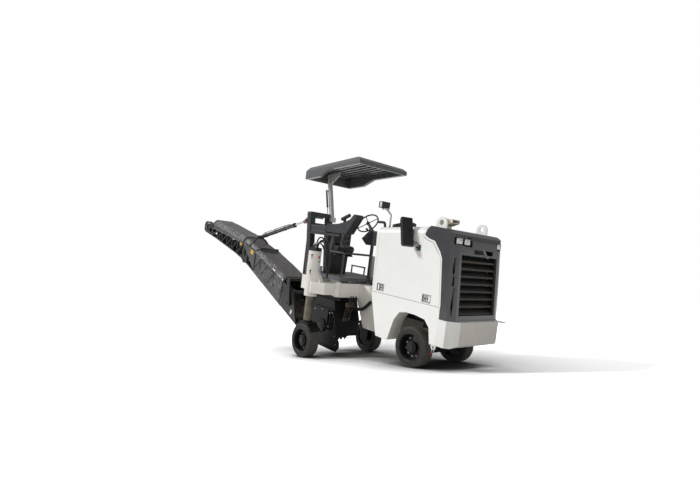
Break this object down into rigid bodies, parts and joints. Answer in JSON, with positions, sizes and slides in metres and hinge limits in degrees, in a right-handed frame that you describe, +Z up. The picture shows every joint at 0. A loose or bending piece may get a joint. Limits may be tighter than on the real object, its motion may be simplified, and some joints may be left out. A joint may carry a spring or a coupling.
{
  "type": "compact wheeled cold planer",
  "caption": "Compact road milling machine on solid-tyred wheels with a raked engine hood, a swing-in rear leg, an open stand under a canopy and a folding, slewing rear conveyor.",
  "frame": {"origin": "bottom centre of the whole machine's bounding box, on the ground", "axes": "+X to the front (engine end), +Y to the machine's left, +Z up"},
  "size_m": [8.8612, 1.762, 3.687],
  "materials": {
    "white_paint": "semi-gloss",
    "graphite_paint": "satin",
    "black_plastic": "matt",
    "lamp_body": "matt",
    "galvanised": "dull",
    "cast_engine": "matt",
    "radiator": "matt",
    "drum_steel": "worn",
    "tread_steel": "satin",
    "seat_vinyl": "satin",
    "canopy_shell": "satin",
    "cover_canvas": "dull",
    "belt_rubber": "matt",
    "chrome": "polished",
    "solid_tyre": "matt",
    "rim_paint": "satin"
  },
  "bodies": {
    "chassis": {"air_scoop": "black_plastic", "body_rear_wall": "white_paint", "bumper": "white_paint", "canopy": "canopy_shell", "canopy_post": "white_paint", "control_console": "graphite_paint", "drum_housing": "graphite_paint", "engine_block": "cast_engine", "exhaust_outlet": "galvanised", "front_axle": "graphite_paint", "front_cowl": "graphite_paint", "front_frame": "graphite_paint", "grab_rail": "graphite_paint", "grille_louvres": "black_plastic", "guard_rail": "graphite_paint", "head_lamps": "lamp_body", "hood_shell": "white_paint", "left_body_side": "white_paint", "left_column": "white_paint", "lifting_eyes": "white_paint", "mast": "graphite_paint", "operator_floor": "tread_steel", "operator_seat": "seat_vinyl", "radiator_core": "radiator", "rear_frame": "white_paint", "right_body_side": "white_paint", "seat_base": "graphite_paint", "steering_pedestal": "black_plastic", "wheel_arches": "white_paint", "work_lamp": "lamp_body"},
    "right_door": {"right_engine_door": "white_paint", "mirror": "black_plastic"},
    "left_door": {"left_engine_door": "white_paint"},
    "right_steer": {"right_knuckle": "graphite_paint"},
    "left_steer": {"left_knuckle": "graphite_paint"},
    "front_right_wheel": {"front_right_tyre": "solid_tyre", "front_right_rim": "rim_paint"},
    "front_left_wheel": {"front_left_tyre": "solid_tyre", "front_left_rim": "rim_paint"},
    "rear_right_wheel": {"rear_right_tyre": "solid_tyre", "rear_right_rim": "rim_paint"},
    "rear_left_wheel": {"rear_left_tyre": "solid_tyre", "rear_left_rim": "rim_paint"},
    "swing_unit": {"swing_arm": "white_paint", "column_head": "graphite_paint"},
    "right_leg_unit": {"right_leg": "white_paint"},
    "left_leg_unit": {"left_leg": "white_paint"},
    "drum": {"milling_drum": "drum_steel"},
    "side_guard": {"side_plate": "graphite_paint"},
    "helm": {"steering_wheel": "black_plastic"},
    "slew_unit": {"slew_frame": "graphite_paint"},
    "lower_conveyor": {"conveyor_lower": "graphite_paint", "conveyor_yoke": "graphite_paint", "cover_lower": "cover_canvas", "belt_lower": "belt_rubber"},
    "upper_conveyor": {"conveyor_upper": "graphite_paint", "cover_upper": "cover_canvas", "belt_upper": "belt_rubber"},
    "barrel": {"lift_barrel": "graphite_paint"},
    "rod": {"lift_rod": "chrome"}
  },
  "joints": [
    {"name": "right_door_hinge", "type": "hinge", "parent": "chassis", "child": "right_door", "pos_m": [3.47562, -0.071, 2.13062], "axis": [-0.992, 0, 0.1266], "range_deg": [0, 60]},
    {"name": "left_door_hinge", "type": "hinge", "parent": "chassis", "child": "left_door", "pos_m": [3.47562, 0.589, 2.13062], "axis": [0.992, 0, -0.1266], "range_deg": [0, 60]},
    {"name": "right_kingpin", "type": "hinge", "parent": "chassis", "child": "right_steer", "pos_m": [3.52813, -0.071, 0.3], "axis": [0.1907, 0, 0.9817], "range_deg": [-25, 25]},
    {"name": "left_kingpin", "type": "hinge", "parent": "chassis", "child": "left_steer", "pos_m": [3.52813, 0.589, 0.3], "axis": [0.1907, 0, 0.9817], "range_deg": [-25, 25]},
    {"name": "helm_turn", "type": "hinge", "parent": "chassis", "child": "helm", "pos_m": [1.98311, 0.249, 2.45206], "axis": [-0.6294, 0, 0.7771], "range_deg": [-225, 225]},
    {"name": "front_right_roll", "type": "hinge", "parent": "right_steer", "child": "front_right_wheel", "pos_m": [3.52813, -0.241, 0.3], "axis": [0, 1, 0], "continuous": true},
    {"name": "front_left_roll", "type": "hinge", "parent": "left_steer", "child": "front_left_wheel", "pos_m": [3.52813, 0.759, 0.3], "axis": [0, 1, 0], "continuous": true},
    {"name": "right_leg_swing", "type": "hinge", "parent": "chassis", "child": "swing_unit", "pos_m": [1.90909, -0.431, 1.19512], "axis": [0.1907, 0, 0.9817], "range_deg": [0, 180]},
    {"name": "right_leg_lift", "type": "slide", "parent": "swing_unit", "child": "right_leg_unit", "axis": [0.1907, 0, 0.9817], "range_m": [0, 0.34]},
    {"name": "left_leg_lift", "type": "slide", "parent": "chassis", "child": "left_leg_unit", "axis": [0.1907, 0, 0.9817], "range_m": [0, 0.34]},
    {"name": "rear_right_roll", "type": "hinge", "parent": "right_leg_unit", "child": "rear_right_wheel", "pos_m": [1.40925, -0.767, 0.3], "axis": [0, 1, 0], "continuous": true},
    {"name": "rear_left_roll", "type": "hinge", "parent": "left_leg_unit", "child": "rear_left_wheel", "pos_m": [1.40925, 0.767, 0.3], "axis": [0, 1, 0], "continuous": true},
    {"name": "drum_turn", "type": "hinge", "parent": "chassis", "child": "drum", "pos_m": [1.37138, -0.083, 0.55082], "axis": [0, 1, 0], "continuous": true},
    {"name": "side_guard_float", "type": "slide", "parent": "chassis", "child": "side_guard", "axis": [0.1907, 0, 0.9817], "range_m": [0, 0.2]},
    {"name": "conveyor_slew", "type": "hinge", "parent": "chassis", "child": "slew_unit", "pos_m": [0.4193, -0.041, 2.12626], "axis": [0.1907, 0, 0.9817], "range_deg": [-30, 30]},
    {"name": "conveyor_lift", "type": "hinge", "parent": "slew_unit", "child": "lower_conveyor", "pos_m": [0.26494, -0.041, 0.96437], "axis": [0, 1, 0], "range_deg": [-10, 8]},
    {"name": "conveyor_fold", "type": "hinge", "parent": "lower_conveyor", "child": "upper_conveyor", "pos_m": [-1.84807, -0.041, 1.99109], "axis": [0, -1, 0], "range_deg": [0, 60]},
    {"name": "barrel_pivot", "type": "hinge", "parent": "lower_conveyor", "child": "barrel", "pos_m": [-1.60881, -0.041, 2.59352], "axis": [0, 1, 0], "range_deg": [-2, 2]},
    {"name": "rod_slide", "type": "slide", "parent": "barrel", "child": "rod", "axis": [0.9986, 0, 0.0536], "range_m": [-0.25, 0.31]}
  ],
  "couplings": [
    {"joint": "left_kingpin", "follows": "right_kingpin", "ratio": 1},
    {"joint": "helm_turn", "follows": "right_kingpin", "ratio": 9},
    {"joint": "barrel_pivot", "follows": "conveyor_lift", "ratio": -0.12},
    {"joint": "rod_slide", "follows": "conveyor_lift", "m_per_rad": -1.716}
  ]
}
